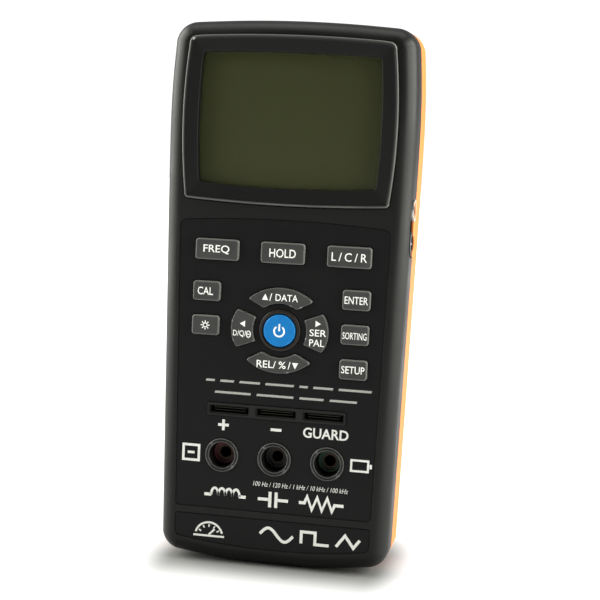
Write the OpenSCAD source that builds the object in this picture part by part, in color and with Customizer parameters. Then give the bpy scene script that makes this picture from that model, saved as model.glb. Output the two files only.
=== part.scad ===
// Handheld LCR meter: dark front shell with display and keypad, orange rear
// shell with battery door and tilt stand, and the electronics between them.
// The meter stands on its bottom end. +Z up, the user at -Y, +X to the user's
// right, origin under the middle of the bottom end. All lengths in mm.

/* [Case] */
// Length of the case, bottom end to top end
case_l = 193; // [192:0.5:195]
// Half of the greatest width, beside the display
half_w = 44; // [43.6:0.1:44.4]
// How much each side closes in per mm below the display
taper = 0.0187; // [0.012:0.001:0.022]
// Wall thickness of both shells
wall = 2.2; // [2:0.1:2.4]
// Plane of the front face
face_y = -19.3; // [-19.4:0.1:-19.2]
// Plane where the two shells meet
part_y = -5; // [-5.4:0.1:-4.8]
// Plane of the back
back_y = 20.5; // [20.3:0.1:21]

/* [Keys] */
// How far a key stands out of the face
key_rise = 1.2; // [0.8:0.1:1.5]
// Gap around each key
key_gap = 0.3; // [0.25:0.05:0.4]
// Width of the three keys of the top row
wide_key = 15.6; // [14:0.1:16.5]
// Width of the small side keys
small_key = 9.85; // [9:0.05:10.5]

/* [Terminals] */
// Distance between neighbouring input jacks
jack_pitch = 19.05; // [18.5:0.05:19.5]
// Bore radius of a contact sleeve
sleeve_r = 2; // [1.9:0.05:2.1]
// Height of the row of input jacks
jack_z = 39.5; // [38:0.5:41]
// Width of one component test slot
slot_w = 14; // [12:0.5:15]

/* [Stand and door] */
// Width of the tilt stand
stand_w = 50; // [46:1:52]
// Radius of the stand's hinge pins
stand_pin_r = 1.25; // [1:0.05:1.4]
// Radius of the battery door's hinge pins
door_pin_r = 0.7; // [0.6:0.05:0.8]

/* [Hidden] */
$fn = 48;
z_wide = 157;
r_top = 8;
r_bot = 7.5;
in_y = face_y + wall;
over_y = face_y + 0.45;        // floor of the shallow recess under the labels
key_top = face_y - key_rise;
board_y = -12.5;               // front side of the circuit board
board_b = board_y + 1.6;       // back side of the circuit board
key_bot = board_y - 2;
keys_z = 85.5;                 // centre of the round key group
jacks = [-jack_pitch, 0, jack_pitch];
slots = [-17, 0, 17];
slot_z = 56;
case_screws = [[-33, 14], [33, 14], [-36.5, 106], [36.5, 106]];
board_screws = [[-33.2, 123.8], [33.2, 123.8], [-31, 62], [31, 62], [-30, 28], [30, 28]];
port_y = -7.9;
serial_z = 129.4;
adapter_z = 117.8;
stand_y = 18.9;
stand_z = 172;
door_y = 19.4;
door_z = 52.4;

dark = [0.17, 0.175, 0.175];
orange = [0.93, 0.45, 0.12];
steel = [0.75, 0.76, 0.78];
green = [0.05, 0.35, 0.18];

// ---- helpers -------------------------------------------------------------
// extrude a drawing in X-Z from y0 back to y1
module ey(y0, y1) translate([0, y1, 0]) rotate([90, 0, 0]) linear_extrude(height = y1 - y0) children();
// cylinder along Y, and along X
module cy(x, z, r, y0, y1) translate([x, y0, z]) rotate([-90, 0, 0]) cylinder(r = r, h = y1 - y0);
module cx(y, z, r, x0, x1) translate([x0, y, z]) rotate([0, 90, 0]) cylinder(r = r, h = x1 - x0);
module box(x0, x1, y0, y1, z0, z1) translate([x0, y0, z0]) cube([x1 - x0, y1 - y0, z1 - z0]);
// rectangle with rounded corners
module rrect(w, h, r) {
  square([w - 2 * r, h], center = true);
  square([w, h - 2 * r], center = true);
  for (i = [-1, 1], j = [-1, 1]) translate([i * (w / 2 - r), j * (h / 2 - r)]) circle(r);
}
function mirrored(h) = concat(h, [for (i = [len(h) - 2:-1:1]) [-h[i][0], h[i][1]]]);

// ---- outline of the case, d mm inside its skin ----------------------------
function case_x(z) = z > z_wide ? half_w - pow(z - z_wide, 2) / 608
  : half_w - taper * (sqrt(pow(z_wide - z, 2) + 225) - 15);
function case_top(x) = case_l - x * x / 908;
function case_bot(x) = abs(x) < 14 ? 0 : x * x / 436 - 0.45;
function ring(d) =
  let (rt = max(r_top - d, 2), rb = max(r_bot - d, 2),
       kt = r_top - d - rt, kb = r_bot - d - rb,
       xt = case_x(case_l - 9.3) - r_top + kt, zt = case_top(34.8) - r_top + kt,
       xb = case_x(8) - r_bot + kb, zb = case_bot(34) + r_bot - kb)
  mirrored(concat(
    [for (f = [0, 0.2, 0.41, 0.56, 0.7, 0.84]) [f * xb, case_bot(f * xb) + d]],
    [for (a = [-80:11.6:1.2]) [xb + rb * cos(a), zb + rb * sin(a)]],
    [for (f = [0.08, 0.2, 0.32, 0.43, 0.54, 0.63, 0.71, 0.78, 0.84, 0.9, 0.95])
       let (z = zb + f * (zt - zb)) [case_x(z) - d, z]],
    [for (a = [5:11.5:86]) [xt + rt * cos(a), zt + rt * sin(a)]],
    [for (f = [0.85, 0.62, 0.4, 0.2, 0]) [f * xt, case_top(f * xt) - d]]));

// skin through rings: prof is a list of [y, inset], front to back
module loft(prof) {
  n = len(ring(0));
  m = len(prof);
  pts = concat([for (p = prof) for (q = ring(p[1])) [q[0], p[0], q[1]]],
    [[0, prof[0][0], case_l / 2], [0, prof[m - 1][0], case_l / 2]]);
  polyhedron(points = pts, faces = concat(
    [for (i = [0:n - 1]) [(i + 1) % n, i, m * n]],
    [for (i = [0:n - 1]) [(m - 1) * n + i, (m - 1) * n + (i + 1) % n, m * n + 1]],
    [for (k = [0:m - 2]) for (i = [0:n - 1]) let (j = (i + 1) % n)
      [k * n + i, k * n + j, (k + 1) * n + j]],
    [for (k = [0:m - 2]) for (i = [0:n - 1]) let (j = (i + 1) % n)
      [k * n + i, (k + 1) * n + j, (k + 1) * n + i]]));
}
front_out = concat(
  [for (t = [0:11.25:90]) [face_y + 7.5 * (1 - cos(t)), 6 * (1 - sin(t))]], [[part_y, 0]]);
front_in = concat(
  [for (t = [0:22.5:90]) [in_y + 5.5 * (1 - cos(t)), wall + 4.5 * (1 - sin(t))]],
  [[part_y + 1, wall]]);
rear_out = concat([[part_y, 0]],
  [for (s = [0:11.25:90]) [back_y - 14 + 14 * sin(s), 11 * (1 - cos(s))]]);
rear_mid = [for (p = rear_out) [p[0] > part_y ? p[0] - 1.1 : p[0], p[1] + 1.1]];
rear_in = concat([[part_y - 1, wall]],
  [for (s = [0:15:90]) [back_y - 14.4 + 12 * sin(s), wall + 0.2 + 9.5 * (1 - cos(s))]]);

// ---- plates with slightly bowed edges -------------------------------------
// p = [half width, its height, side bow radius, side slope, top, top bow,
//      bottom, bottom bow, top corner, bottom corner]
function side_x(p, z) = p[0] - pow(z - p[1], 2) / (2 * p[2]) + p[3] * (z - p[1]);
function top_z(p, x) = p[4] - x * x / (2 * p[5]);
function bot_z(p, x) = p[6] + x * x / (2 * p[7]);
function plate(p, d = 0) =
  let (rt = max(p[8] - d, 0.4), rb = max(p[9] - d, 0.4),
       zt = top_z(p, p[0] - 2) - d - rt, zb = bot_z(p, p[0] - 2) + d + rb,
       xt = side_x(p, zt) - d - rt, xb = side_x(p, zb) - d - rb)
  mirrored(concat(
    [for (f = [0:0.2:0.81]) [f * xb, bot_z(p, f * xb) + d]],
    [for (a = [-88:22:0]) [xb + rb * cos(a), zb + rb * sin(a)]],
    [for (f = [0.14:0.12:0.9]) let (z = zb + f * (zt - zb)) [side_x(p, z) - d, z]],
    [for (a = [0:22:88]) [xt + rt * cos(a), zt + rt * sin(a)]],
    [for (f = [0.8:-0.2:0.1]) [f * xt, top_z(p, f * xt) - d]],
    [[0, top_z(p, 0) - d]]));
bezel_p = [37.85, 158, 210, 0, 187.8, 518, 129.1, 540, 2.6, 1.4];
window_p = [32.3, 158, 255, 0, 181.8, 680, 134.9, 437, 1.6, 1.6];
label_p = [36.25, 70, 90000, 0.0205, 124.1, 432, 20.3, 90000, 2.6, 0.8];
name_p = [35.2, 12, 90000, 0, 17.3, 90000, 6.6, 227, 0.8, 1.8];

// ---- keys -----------------------------------------------------------------
// name order: freq, hold, lcr, cal, backlight, enter, sorting, setup
rect_keys = [
  [-23.5, 112.7, wide_key, 7.4], [0, 112.7, wide_key, 7.4], [23.5, 112.7, wide_key, 7.4],
  [-26.7, 97.9, small_key, 7], [-26.7, 85.8, small_key, 7],
  [26.7, 97.9, small_key, 7], [26.7, 85.8, small_key, 7], [26.7, 73.6, small_key, 7]];
// turn, outer radius, outer reach, foot of the side lines, their slope
arc_keys = [[0, 17.5, 15.1, 4.5, 0.536], [180, 17.5, 15.1, 4.5, 0.536],
            [90, 11.6, 17.4, -2.8, 2.667], [-90, 11.6, 17.4, -2.8, 2.667]];
power_r = 5.7;

module rect2d(k, d) translate([k[0], k[1]]) rrect(k[2] + 2 * d, k[3] + 2 * d, 1.1 + d / 2);
module arc2d(k, d) translate([0, keys_z]) rotate(k[0]) {
  foot = k[3] - d * sqrt(1 + k[4] * k[4]);
  difference() {
    intersection() {
      translate([0, k[2] - k[1]]) circle(k[1] + d, $fn = 96);
      polygon([[0, foot], [30, foot + 30 * k[4]], [30, 90], [-30, 90], [-30, foot + 30 * k[4]]]);
      translate([-11.5 - d, -10]) square([23 + 2 * d, 40]);
    }
    circle(9.6 - d, $fn = 64);
  }
}
// cap, collar that keeps it in the case, and foot over the membrane
module key_body() {
  ey(key_top, key_top + 0.3) children(0);
  ey(key_top + 0.3, in_y + 0.2) children(1);
  ey(in_y + 0.2, in_y + 1) children(2);
  ey(in_y + 1, key_bot) children(0);
}
module rect_key(i) color([0.34, 0.345, 0.33]) key_body() {
  rect2d(rect_keys[i], -0.3); rect2d(rect_keys[i], 0); rect2d(rect_keys[i], 0.8);
}
module arc_key(i) color([0.34, 0.345, 0.33]) key_body() {
  arc2d(arc_keys[i], -0.3); arc2d(arc_keys[i], 0); arc2d(arc_keys[i], 0.8);
}
module key_freq() rect_key(0);
module key_hold() rect_key(1);
module key_lcr() rect_key(2);
module key_cal() rect_key(3);
module key_backlight() rect_key(4);
module key_enter() rect_key(5);
module key_sorting() rect_key(6);
module key_setup() rect_key(7);
module key_up() arc_key(0);
module key_down() arc_key(1);
module key_left() arc_key(2);
module key_right() arc_key(3);
module key_power() color([0.1, 0.45, 0.75]) {
  cy(0, keys_z, power_r - 0.3, key_top, key_top + 0.3);
  cy(0, keys_z, power_r, key_top + 0.3, in_y + 0.2);
  cy(0, keys_z, power_r + 0.8, in_y + 0.2, in_y + 1);
  cy(0, keys_z, power_r - 1, in_y + 1, key_bot);
}
// all key holes, through the case and the label
module key_holes(y0, y1) {
  for (k = rect_keys) ey(y0, y1) rect2d(k, key_gap);
  for (k = arc_keys) ey(y0, y1) arc2d(k, key_gap);
}
module power_ring() color(dark) translate([0, over_y, keys_z]) rotate([90, 0, 0]) rotate_extrude($fn = 72)
  polygon([[6, 0], [7.45, 0], [7.45, 0.75], [7.1, 1.15], [6.35, 1.15], [6, 0.85]]);

// ---- front shell ------------------------------------------------------------
module port_bay() {
  box(42, 50, port_y - 6.4, port_y + 5, 112.9 + 4, 133.3);
  box(42, 50, port_y - 4.6, port_y + 5, 112.9, 117);
  cx(port_y - 2.3, 117, 4.1, 42, 50);
}
module port_holes() {
  cx(port_y, serial_z, 3.1, 36, 42.5);
  cx(port_y, adapter_z, 3.95, 36, 42.5);
}
module front_case() color(dark) difference() {
  union() {
    difference() { loft(front_out); loft(front_in); }
    for (s = case_screws) cy(s[0], s[1], 3.5, in_y - 0.3, part_y - 0.1);
    for (s = board_screws) cy(s[0], s[1], 2.2, in_y - 0.3, board_y);
    for (x = jacks) {
      cy(x, jack_z, 6.05, face_y - 0.45, in_y);
      cy(x, jack_z, 5.6, in_y - 0.3, board_y - 0.1);
    }
    box(39.3, 41.9, port_y - 7.5, part_y, 110.6, 135.6);
  }
  for (s = case_screws) cy(s[0], s[1], 1.55, -15, part_y);
  for (s = board_screws) cy(s[0], s[1], 0.95, -16, board_y + 1);
  for (x = jacks) cy(x, jack_z, 4.4, face_y - 2, board_y + 1);
  // label recess around the jack collars, and the name plate recess
  difference() {
    ey(face_y - 1, over_y) polygon(plate(label_p, -0.25));
    for (x = jacks) cy(x, jack_z, 6.05, face_y - 2, 0);
  }
  ey(face_y - 1, over_y) polygon(plate(name_p, -0.25));
  // display recess and opening
  ey(face_y - 1, face_y + 1.2) polygon(plate(bezel_p, -0.15));
  ey(face_y - 1, -10) polygon(plate(window_p, -2.5));
  key_holes(face_y - 1, -15);
  cy(0, keys_z, 6, face_y - 1, -15);
  ey(face_y - 1, -15) translate([0, slot_z]) rrect(50.2, 5, 0.8);
  port_bay();
  port_holes();
}

// ---- display ------------------------------------------------------------------
module display_bezel() color([0.12, 0.125, 0.13]) difference() {
  union() {
    ey(face_y + 0.2, face_y + 1.2) polygon(plate(bezel_p));
    ey(face_y + 1.2, in_y) polygon(plate(window_p, -2.3));
    difference() {
      union() {
        ey(face_y - 0.9, face_y + 0.2) polygon(plate(bezel_p));
        ey(face_y - 1.2, face_y - 0.9) polygon(plate(bezel_p, 0.35));
      }
      ey(face_y - 2, face_y + 0.2) polygon(plate(bezel_p, 1.4));
      ey(face_y - 2, face_y - 0.9) polygon(plate(bezel_p, 1.05));
    }
  }
  ey(face_y - 2, in_y + 1) polygon(plate(window_p));
  ey(face_y - 2, face_y + 0.5) polygon(plate(window_p, -0.35));
}
module display_lens() color([0.7, 0.75, 0.7, 0.35]) {
  ey(face_y + 1.2, in_y) polygon(plate(window_p, 0.1));
  ey(in_y, in_y + 0.4) polygon(plate(window_p, -1.8));
}
module lcd_glass() color([0.36, 0.38, 0.24]) ey(-16.6, -14.4) translate([0, 157.7]) square([68, 53.4], center = true);
module lcd_holder() color([0.85, 0.86, 0.84]) difference() {
  ey(-16, board_y) translate([0, 157.4]) rrect(71.6, 57, 1.2);
  ey(-17, board_y + 1) translate([0, 157.7]) square([68.3, 53.7], center = true);
}
module backlight_panel() color([0.93, 0.94, 0.9]) ey(-14.3, -12.9) translate([0, 158.9]) square([67, 49.6], center = true);
module zebra_strip() color([0.85, 0.55, 0.6]) box(-31, 31, -14.4, board_y, 131.4, 133.3);

// ---- labels ----------------------------------------------------------------------
module keypad_overlay() color([0.12, 0.12, 0.13]) difference() {
  ey(over_y - 0.35, over_y) polygon(plate(label_p));
  key_holes(face_y - 1, 0);
  cy(0, keys_z, 7.6, face_y - 1, 0);
  for (x = jacks) cy(x, jack_z, 6.2, face_y - 1, 0);
  ey(face_y - 1, 0) translate([0, slot_z]) rrect(50.2, 5, 0.8);
}
module name_plate() color([0.12, 0.12, 0.13]) ey(over_y - 0.35, over_y) polygon(plate(name_p));

// ---- keypad membrane and circuit board --------------------------------------------
module keypad_membrane() color([0.55, 0.56, 0.55]) {
  ey(board_y - 0.4, board_y) translate([0, 92.7]) rrect(61, 53, 2);
  for (k = rect_keys) cy(k[0], k[1], 2.4, board_y - 1.1, board_y - 0.4);
  for (k = arc_keys) translate([0, 0, keys_z]) rotate([0, -k[0], 0]) cy(0, 12.4, 2.2, board_y - 1.1, board_y - 0.4);
  cy(0, keys_z, 2.6, board_y - 1.1, board_y - 0.4);
}
module main_board() color(green) difference() {
  ey(board_y, board_b) translate([0, 104]) rrect(71, 164, 2);
  for (x = jacks) cy(x, jack_z, 4.5, -20, 0);
  for (s = case_screws) cy(s[0], s[1], 4.2, -20, 0);
  for (s = board_screws) cy(s[0], s[1], 1.1, -20, 0);
}
module board_screws() color(steel) for (s = board_screws) {
  difference() {
    cy(s[0], s[1], 1.8, board_b, board_b + 1.2);
    box(s[0] - 1.2, s[0] + 1.2, board_b + 0.7, board_b + 2, s[1] - 0.25, s[1] + 0.25);
    box(s[0] - 0.25, s[0] + 0.25, board_b + 0.7, board_b + 2, s[1] - 1.2, s[1] + 1.2);
  }
  cy(s[0], s[1], 0.85, -15.5, board_b);
}
// flat package with legs along two or four sides
module chip(x, z, w, h, t, four) {
  box(x - w / 2, x + w / 2, board_b + 0.15, board_b + 0.15 + t, z - h / 2, z + h / 2);
  n = floor(h / 1.27) - 1;
  for (s = [-1, 1], i = [0:n]) {
    o = (i - n / 2) * 1.27;
    translate([x + s * (w / 2 + 0.55), board_b + 0.35, z + o]) cube([1.1, 0.7, 0.5], center = true);
    if (four) translate([x + o, board_b + 0.35, z + s * (h / 2 + 0.55)]) cube([0.5, 0.7, 1.1], center = true);
  }
}
module processor_ic() color([0.08, 0.08, 0.09]) chip(-4, 140, 14, 14, 1.8, true);
module measuring_ic() color([0.08, 0.08, 0.09]) chip(-6, 66, 7.5, 16, 2.2, false);
module crystal() color(steel) {
  translate([0, board_b, 0]) box(12, 19, 0.3, 3.3, 138, 142);
  for (s = [-1, 1]) {
    cx(board_b + 1.8, 140, 1.7, 15.5 + s * 3.5 - 0.3, 15.5 + s * 3.5 + 0.3);
    cy(15.5 + s * 2.4, 140, 0.25, board_b, board_b + 0.4);
  }
}
module buzzer() color([0.06, 0.06, 0.07]) difference() {
  cy(-22, 108, 6, board_b, board_b + 6.5);
  cy(-22, 108, 1, board_b + 5, board_b + 8);
}
module capacitors() color([0.12, 0.14, 0.3]) for (c = [[10, 106, 4], [20, 106, 4], [2, 106, 3.1], [-28, 150, 3.1]]) {
  cy(c[0], c[1], c[2], board_b, board_b + 7.2);
}
module range_relays() color([0.85, 0.84, 0.8]) for (x = [-11, 11])
  box(x - 7, x + 7, board_b, board_b + 7.6, 24.2, 33.2);
module chip_parts() color([0.6, 0.55, 0.45]) {
  for (i = [0:5]) box(-24 + i * 3.4, -22 + i * 3.4, board_b, board_b + 0.6, 124, 125.2);
  for (i = [0:4]) box(8 + i * 3.6, 10 + i * 3.6, board_b, board_b + 0.9, 66, 67.3);
  for (i = [0:4]) box(8 + i * 3.6, 10 + i * 3.6, board_b, board_b + 0.6, 72, 73.2);
  for (i = [0:3]) box(-24 + i * 4, -21 + i * 4, board_b, board_b + 1.2, 48, 49.8);
}

// ---- input jacks and test slots -------------------------------------------------------
// turned insulator: nose round the sleeve, barrel through the board, solder flange
module jack_body(x) translate([x, 0, jack_z]) rotate([-90, 0, 0]) rotate_extrude() polygon([
  [2.65, face_y + 6], [3.2, face_y + 6], [3.2, board_y - 1.6], [4.15, board_y - 1.6], [4.15, board_b],
  [5.6, board_b], [5.6, board_b + 1.6], [4.15, board_b + 1.6], [4.15, 6.8], [0, 6.8], [0, 5.8], [2.65, 5.8]]);
module jack_plus() color([0.65, 0.06, 0.06]) jack_body(jacks[0]);
module jack_minus() color([0.07, 0.07, 0.08]) jack_body(jacks[1]);
module jack_guard() color([0.03, 0.4, 0.16]) jack_body(jacks[2]);
module sleeve(x) color([0.8, 0.72, 0.5]) translate([x, 0, jack_z]) rotate([-90, 0, 0]) rotate_extrude()
  polygon([[sleeve_r, face_y + 6.2], [2.6, face_y + 6.2], [2.6, 5.8], [0, 5.8], [0, 4.9], [sleeve_r, 4.9]]);
module sleeve_plus() sleeve(jacks[0]);
module sleeve_minus() sleeve(jacks[1]);
module sleeve_guard() sleeve(jacks[2]);
module test_slot_block() color([0.2, 0.2, 0.205]) difference() {
  union() {
    ey(face_y - 0.4, in_y + 0.1) translate([0, slot_z]) rrect(49.8, 4.6, 0.6);
    ey(in_y + 0.1, board_y - 0.1) translate([0, slot_z]) rrect(53, 7, 1);
  }
  for (x = slots) {
    ey(face_y - 2, board_y) translate([x, slot_z]) rrect(slot_w, 2.4, 0.4);
    ey(face_y - 2, face_y) translate([x, slot_z]) rrect(slot_w + 0.8, 3.2, 0.6);
  }
}
module test_slot_contacts() color([0.85, 0.75, 0.5]) for (x = slots, s = [-1, 1])
  box(x - slot_w / 2 + 1.2, x + slot_w / 2 - 1.2, face_y + 1.4, board_y, slot_z + s * 0.45 - 0.15, slot_z + s * 0.45 + 0.15);

// ---- side sockets -------------------------------------------------------------------------
module serial_socket() color([0.09, 0.09, 0.1]) difference() {
  union() {
    box(28, 39.2, board_b, board_b + 6, serial_z - 3.4, serial_z + 3.4);
    cx(port_y, serial_z, 2.95, 39.2, 43.5);
  }
  cx(port_y, serial_z, 1.8, 29.5, 44);
}
module serial_socket_nut() color([0.82, 0.82, 0.8]) difference() {
  cx(port_y, serial_z, 3.9, 42.1, 43.9);
  cx(port_y, serial_z, 3, 41, 45);
  for (a = [0:15:345]) translate([43, port_y, serial_z]) rotate([a, 0, 0]) translate([0, 0, 4]) cube([3, 0.4, 0.5], center = true);
}
module adapter_socket() color([0.13, 0.13, 0.135]) difference() {
  union() {
    box(29, 39.2, board_b, board_b + 7.6, adapter_z - 3.9, adapter_z + 3.9);
    cx(port_y, adapter_z, 3.8, 39.2, 42.1);
    cx(port_y, adapter_z, 4.5, 42.1, 43.4);
  }
  cx(port_y, adapter_z, 2.8, 33, 45);
}
module adapter_pin() color(steel) {
  cx(port_y, adapter_z, 1.05, 33, 42.2);
  translate([42.2, port_y, adapter_z]) sphere(r = 1.05);
}

// ---- battery --------------------------------------------------------------------------------
module battery_9v() color([0.15, 0.16, 0.2]) {
  ey(0.6, 17.6) translate([2.9, 69]) rrect(44.6, 26, 2);
  cx(9.1, 62.7, 2.9, -21.4, -19.4);
  difference() {
    cx(9.1, 75.3, 3.9, -21.4, -19.4);
    cx(9.1, 75.3, 2.7, -23, -20.1);
  }
}
module battery_snap() color([0.08, 0.08, 0.09]) {
  box(-23.8, -21.5, 2.6, 15.6, 57, 81);
  difference() {
    cx(9.1, 62.7, 4, -21.6, -20);
    cx(9.1, 62.7, 3, -21.5, -19);
  }
  cx(9.1, 75.3, 2.5, -21.6, -20.4);
}
module lead(z, c) color(c) {
  cx(5, z, 0.55, -24.7, -23.8);
  translate([-24.7, 5, z]) sphere(r = 0.55);
  cy(-24.7, z, 0.55, board_b, 5);
}
module battery_lead_red() lead(62, [0.75, 0.08, 0.06]);
module battery_lead_black() lead(76, [0.06, 0.06, 0.07]);

// ---- rear shell --------------------------------------------------------------------------------
stand_top = stand_z + 2.2;
stand_end = 104;
module rear_case() color(orange) difference() {
  union() {
    difference() { loft(rear_out); loft(rear_in); }
    intersection() {
      loft(rear_mid);
      union() {
        for (s = case_screws) {
          cy(s[0], s[1], 3.5, part_y + 0.1, 4);
          cy(s[0], s[1], 4.4, 3, 21);
        }
        box(-27.2, 27.2, -1.2, 18, 53, 85);                 // battery box
        box(-29.5, 29.5, 15.8, 18.4, 48.8, 88.4);           // ledge under the door
        box(-8, 8, 15.8, 18.4, 86, 96);
        cy(0, 89.8, 3.4, 11, 18);
        box(-30.5, 30.5, 14.4, 18.4, 95, 177);              // pocket of the stand
        box(39.3, 41.9, part_y, port_y + 6.2, 110.6, 135.6);
      }
    }
  }
  for (s = case_screws) {
    cy(s[0], s[1], 1.7, part_y - 1, 6);
    cy(s[0], s[1], 3.1, 5, 22);
  }
  box(-25.6, 25.6, 0.4, 22, 54.6, 83.4);
  box(-27, 27, 18, 22, 51, 87);
  box(-5.4, 5.4, 18, 22, 86, 93.4);
  for (z = [62, 76]) cy(-24.7, z, 0.85, -2, 1);
  cy(0, 89.8, 1.4, 12.5, 19);
  for (s = [-1, 1]) cx(door_y, door_z, door_pin_r + 0.05, s * 27.8 - 0.9, s * 27.8 + 0.9);
  // recess, hinge sockets and finger scoop of the stand
  box(-stand_w / 2 - 0.4, stand_w / 2 + 0.4, 17, 22, stand_end - 0.5, stand_top);
  for (s = [-1, 1]) cx(stand_y, stand_z, stand_pin_r + 0.05, s * (stand_w / 2 + 1.3) - 1.2, s * (stand_w / 2 + 1.3) + 1.2);
  ey(17.6, 22) translate([0, stand_end - 1.5]) rrect(18, 9, 3);
  port_bay();
  port_holes();
}
module battery_door() color(orange) difference() {
  union() {
    box(-26.7, 26.7, 18.3, back_y, door_z, 86.7);
    cx(door_y, door_z, 1.1, -26.7, 26.7);
    cx(door_y, door_z, door_pin_r, -28.3, 28.3);
    box(-5, 5, 18.3, back_y, 86, 93);
  }
  cy(0, 89.8, 1.3, 18, 21);
  cy(0, 89.8, 2.5, 19.2, 21);
  for (i = [0:5]) box(-11, 11, back_y - 0.5, 21, 76 - i * 2, 76.9 - i * 2);
}
module door_screw() color(steel) difference() {
  union() { cy(0, 89.8, 2.2, 19.2, back_y - 0.1); cy(0, 89.8, 1, 15.5, 19.2); }
  box(-1.5, 1.5, back_y - 0.8, 21, 89.45, 90.15);
}
module tilt_stand() color([0.15, 0.155, 0.155]) difference() {
  union() {
    box(-stand_w / 2, stand_w / 2, 17.3, back_y, stand_end, stand_z);
    cx(stand_y, stand_z, 1.6, -stand_w / 2, stand_w / 2);
    cx(stand_y, stand_z, stand_pin_r, -stand_w / 2 - 2.1, stand_w / 2 + 2.1);
  }
  // hollow front side with ribs, and grip lines at the free end
  for (i = [0:3]) box(-22.5 + i * 11.5, -13 + i * 11.5 + 0.9, 16, 19, stand_end + 6, stand_z - 5);
  for (i = [0:2]) box(-10, 10, back_y - 0.5, 21, stand_end + 2 + i * 2, stand_end + 2.9 + i * 2);
}
module case_screws() color(steel) for (s = case_screws) {
  difference() {
    cy(s[0], s[1], 2.8, 5, 7);
    box(s[0] - 1.8, s[0] + 1.8, 6.2, 8, s[1] - 0.35, s[1] + 0.35);
    box(s[0] - 0.35, s[0] + 0.35, 6.2, 8, s[1] - 1.8, s[1] + 1.8);
  }
  cy(s[0], s[1], 1.45, -14, 5);
}

front_case();
rear_case();
display_bezel();
display_lens();
lcd_glass();
lcd_holder();
backlight_panel();
zebra_strip();
keypad_overlay();
name_plate();
power_ring();
key_freq();
key_hold();
key_lcr();
key_cal();
key_backlight();
key_enter();
key_sorting();
key_setup();
key_up();
key_down();
key_left();
key_right();
key_power();
keypad_membrane();
main_board();
board_screws();
measuring_ic();
processor_ic();
crystal();
buzzer();
capacitors();
range_relays();
chip_parts();
jack_plus();
jack_minus();
jack_guard();
sleeve_plus();
sleeve_minus();
sleeve_guard();
test_slot_block();
test_slot_contacts();
serial_socket();
serial_socket_nut();
adapter_socket();
adapter_pin();
battery_9v();
battery_snap();
battery_lead_red();
battery_lead_black();
battery_door();
door_screw();
tilt_stand();
case_screws();
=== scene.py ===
"""Handheld LCR meter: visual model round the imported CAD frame.

Lengths in the geometry code are millimetres in the row frame (+Z up along the
case, the face towards -Y); every mesh is scaled to metres as it is made.
"""
import math

import bmesh
import bpy
from mathutils import Matrix, Vector


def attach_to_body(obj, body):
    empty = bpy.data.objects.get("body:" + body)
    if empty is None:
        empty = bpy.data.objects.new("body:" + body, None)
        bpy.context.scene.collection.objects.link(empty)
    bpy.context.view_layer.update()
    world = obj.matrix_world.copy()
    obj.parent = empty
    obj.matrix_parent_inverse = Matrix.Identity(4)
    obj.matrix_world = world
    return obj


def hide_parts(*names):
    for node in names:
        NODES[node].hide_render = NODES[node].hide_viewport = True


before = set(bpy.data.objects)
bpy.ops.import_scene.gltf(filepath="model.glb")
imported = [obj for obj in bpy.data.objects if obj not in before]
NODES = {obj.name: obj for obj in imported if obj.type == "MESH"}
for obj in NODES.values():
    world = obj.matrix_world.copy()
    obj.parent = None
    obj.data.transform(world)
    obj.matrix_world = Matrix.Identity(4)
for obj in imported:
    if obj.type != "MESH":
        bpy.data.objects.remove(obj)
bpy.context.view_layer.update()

MM = 0.001
scene = bpy.context.scene

# planes of the design, front to back
KEY_TOP = -20.46
FACE = -19.3
FILM_Y = -19.2
FILM_FLOOR = -18.85
PORT_Y = -7.9
PART = -5.0
BACK = 20.5
INSIDE = -10

# places on the face and on the right side
KEYS_Z = 85.5
JACKS = (-19.05, 0.0, 19.05)
JACK_Z = 39.5
SLOT_Z = 56.0
SERIAL_Z = 129.4
ADAPTER_Z = 117.8

# wall of both shells, gap round a key in the face, gap round a key in the film
WALL = 2.2
KEY_GAP = 0.35
FILM_GAP = 0.3

# case screws, seen from the front: across, up
SCREWS = ((-33, 14), (33, 14), (-36.5, 106), (36.5, 106))

# glow of the floor round the meter, strength of the light tent at its front and back
FLOOR_GLOW = 0.86
TENT_FRONT, TENT_BACK = 0.04, 0.42
# half size of the patch of floor that doesn't glow, a painted contact shadow under the meter, and the width
# of its soft edge, metres
PAINTED_SHADOW = {"X": (0.034, 0.018), "Y": (0.013, 0.040)}
LIGHT_TINT = (1.0, 1.0, 0.93)
# name, place, aim (metres), width, height, radiance
SOFTBOXES = (
    ("softbox_left", (-0.75, -0.03, 0.40), (0, 0, 0.11), 1.0, 0.8, 7.3),
    ("softbox_right", (0.76, 0.0, 0.36), (0, 0, 0.11), 1.0, 0.75, 7.8),
    ("softbox_top", (0, 0.02, 0.95), (0, 0, 0.15), 0.9, 0.6, 2.6),
)

# the camera stands to the right of the meter and above it, degrees and metres
CAMERA_TURN = 10.945
CAMERA_RISE = 6.307
CAMERA_ROLL = 2.631
CAMERA_PLACE = (0.10532, -0.52931, 0.15415)
CAMERA_LENS = 90.0


# ---------------------------------------------------------------- materials
def nodes_of(name):
    mat = bpy.data.materials.new(name)
    mat.use_nodes = True
    nt = mat.node_tree
    return mat, nt, nt.nodes["Principled BSDF"]


def noise(nt, scale, detail=3.0, stretch=None):
    """Noise in the object's own coordinates, scale in features per metre."""
    coord = nt.nodes.new("ShaderNodeTexCoord")
    tex = nt.nodes.new("ShaderNodeTexNoise")
    tex.inputs["Scale"].default_value = scale
    tex.inputs["Detail"].default_value = detail
    source = coord.outputs["Object"]
    if stretch:
        mapping = nt.nodes.new("ShaderNodeMapping")
        mapping.inputs["Scale"].default_value = stretch
        nt.links.new(source, mapping.inputs["Vector"])
        source = mapping.outputs["Vector"]
    nt.links.new(source, tex.inputs["Vector"])
    return tex.outputs["Fac"]


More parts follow.
